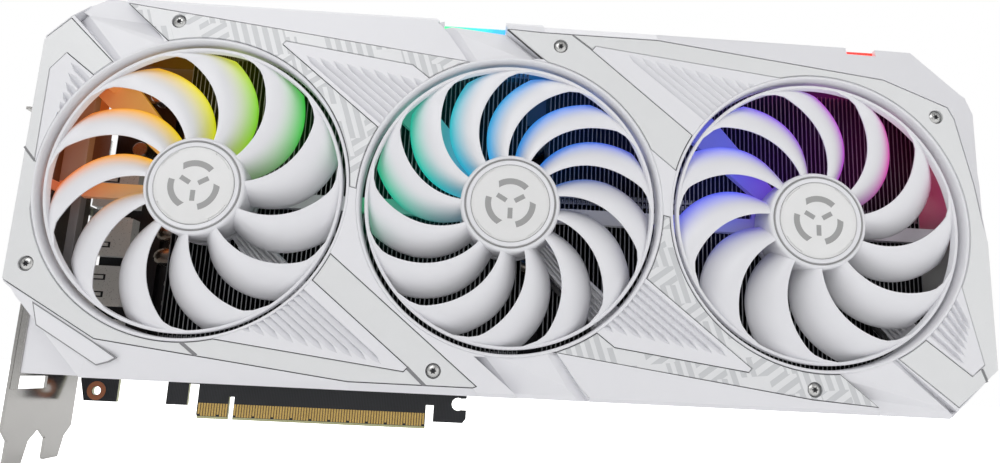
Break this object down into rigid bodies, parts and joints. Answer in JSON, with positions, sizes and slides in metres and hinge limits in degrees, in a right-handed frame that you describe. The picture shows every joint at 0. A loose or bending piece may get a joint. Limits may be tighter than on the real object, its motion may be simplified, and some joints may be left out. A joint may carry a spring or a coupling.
{
  "type": "graphics card",
  "caption": "Long white expansion card with axial fans in an angular shroud over a black finned heatsink, an edge connector, a slotted steel bracket and a metal backplate.",
  "frame": {"origin": "middle of the long run of edge contacts, at their bottom edge, on the circuit board's mid-plane", "axes": "+X from the slot bracket to the tail, -Y the way the fans face, +Z away from the slot"},
  "size_m": [0.3299, 0.0578, 0.1555],
  "materials": {
    "white_plastic": "satin moulded plastic, faint lavender tint",
    "plate_plastic": "satin silver-grey accent plate",
    "pattern_plastic": "satin plastic with a printed geometric pattern",
    "fan_plastic": "smooth satin fan blades",
    "fan_frame_plastic": "moulded struts",
    "badge_metal": "fine satin disc",
    "screw_steel": "turned and plated",
    "light_diffuser": "milky light guide",
    "winding_copper": "enamelled windings",
    "cable_black": "matt sleeve",
    "fin_metal": "black coated aluminium fins",
    "nickel": "nickel plated copper",
    "aluminium": "milled",
    "black_steel": "black coated",
    "board_laminate": "black solder mask",
    "chip_laminate": "green substrate and dark die",
    "black_plastic": "moulded",
    "bracket_steel": "bright plated sheet",
    "backplate_metal": "white-silver painted aluminium"
  },
  "bodies": {
    "root": {"shroud": "white_plastic", "accent_plate_lower_left": "plate_plastic", "accent_plate_upper_right": "plate_plastic", "accent_plate_upper_left": "pattern_plastic", "accent_plate_lower_right": "pattern_plastic", "front_screw_1": "screw_steel", "front_screw_2": "screw_steel", "front_screw_3": "screw_steel", "front_screw_4": "screw_steel", "front_screw_5": "screw_steel", "front_screw_6": "screw_steel", "light_bar": "light_diffuser", "fan_left_frame": "fan_frame_plastic", "fan_left_stator": "winding_copper", "fan_left_cable": "cable_black", "fan_centre_frame": "fan_frame_plastic", "fan_centre_stator": "winding_copper", "fan_centre_cable": "cable_black", "fan_right_frame": "fan_frame_plastic", "fan_right_stator": "winding_copper", "fan_right_cable": "cable_black", "fin_stack_left": "fin_metal", "fin_stack_right": "fin_metal", "heat_pipe_1": "nickel", "heat_pipe_2": "nickel", "heat_pipe_3": "nickel", "heat_pipe_4": "nickel", "heat_pipe_5": "nickel", "heat_pipe_6": "nickel", "gpu_cold_plate": "nickel", "memory_plate": "aluminium", "stiffener_frame": "black_steel", "circuit_board": "board_laminate", "gpu_package": "chip_laminate", "power_header_1": "black_plastic", "power_header_2": "black_plastic", "power_header_3": "black_plastic", "io_bracket": "bracket_steel", "display_socket_1": "bracket_steel", "display_socket_2": "bracket_steel", "display_socket_3": "bracket_steel", "display_socket_4": "bracket_steel", "backplate": "backplate_metal", "gpu_retainer": "black_steel", "spring_screw_1": "screw_steel", "spring_screw_2": "screw_steel", "spring_screw_3": "screw_steel", "spring_screw_4": "screw_steel"},
    "fan_left": {"fan_left_rotor": "fan_plastic", "fan_left_badge": "badge_metal", "fan_left_shaft": "screw_steel"},
    "fan_centre": {"fan_centre_rotor": "fan_plastic", "fan_centre_badge": "badge_metal", "fan_centre_shaft": "screw_steel"},
    "fan_right": {"fan_right_rotor": "fan_plastic", "fan_right_badge": "badge_metal", "fan_right_shaft": "screw_steel"},
    "bios_switch": {"bios_switch_slider": "black_plastic"},
    "led_button": {"led_button": "black_plastic"}
  },
  "joints": [
    {"name": "fan_left_spin", "type": "hinge", "parent": "root", "child": "fan_left", "pos_m": [-0.04155, 0, 0.0767], "axis": [0, -1, 0], "continuous": true},
    {"name": "fan_centre_spin", "type": "hinge", "parent": "root", "child": "fan_centre", "pos_m": [0.06165, 0, 0.0767], "axis": [0, -1, 0], "continuous": true},
    {"name": "fan_right_spin", "type": "hinge", "parent": "root", "child": "fan_right", "pos_m": [0.16485, 0, 0.0767], "axis": [0, -1, 0], "continuous": true},
    {"name": "bios_switch_slide", "type": "slide", "parent": "root", "child": "bios_switch", "axis": [1, 0, 0], "range_m": [0, 0.002]},
    {"name": "led_button_press", "type": "slide", "parent": "root", "child": "led_button", "axis": [0, 0, -1], "range_m": [0, 0.0005]}
  ]
}
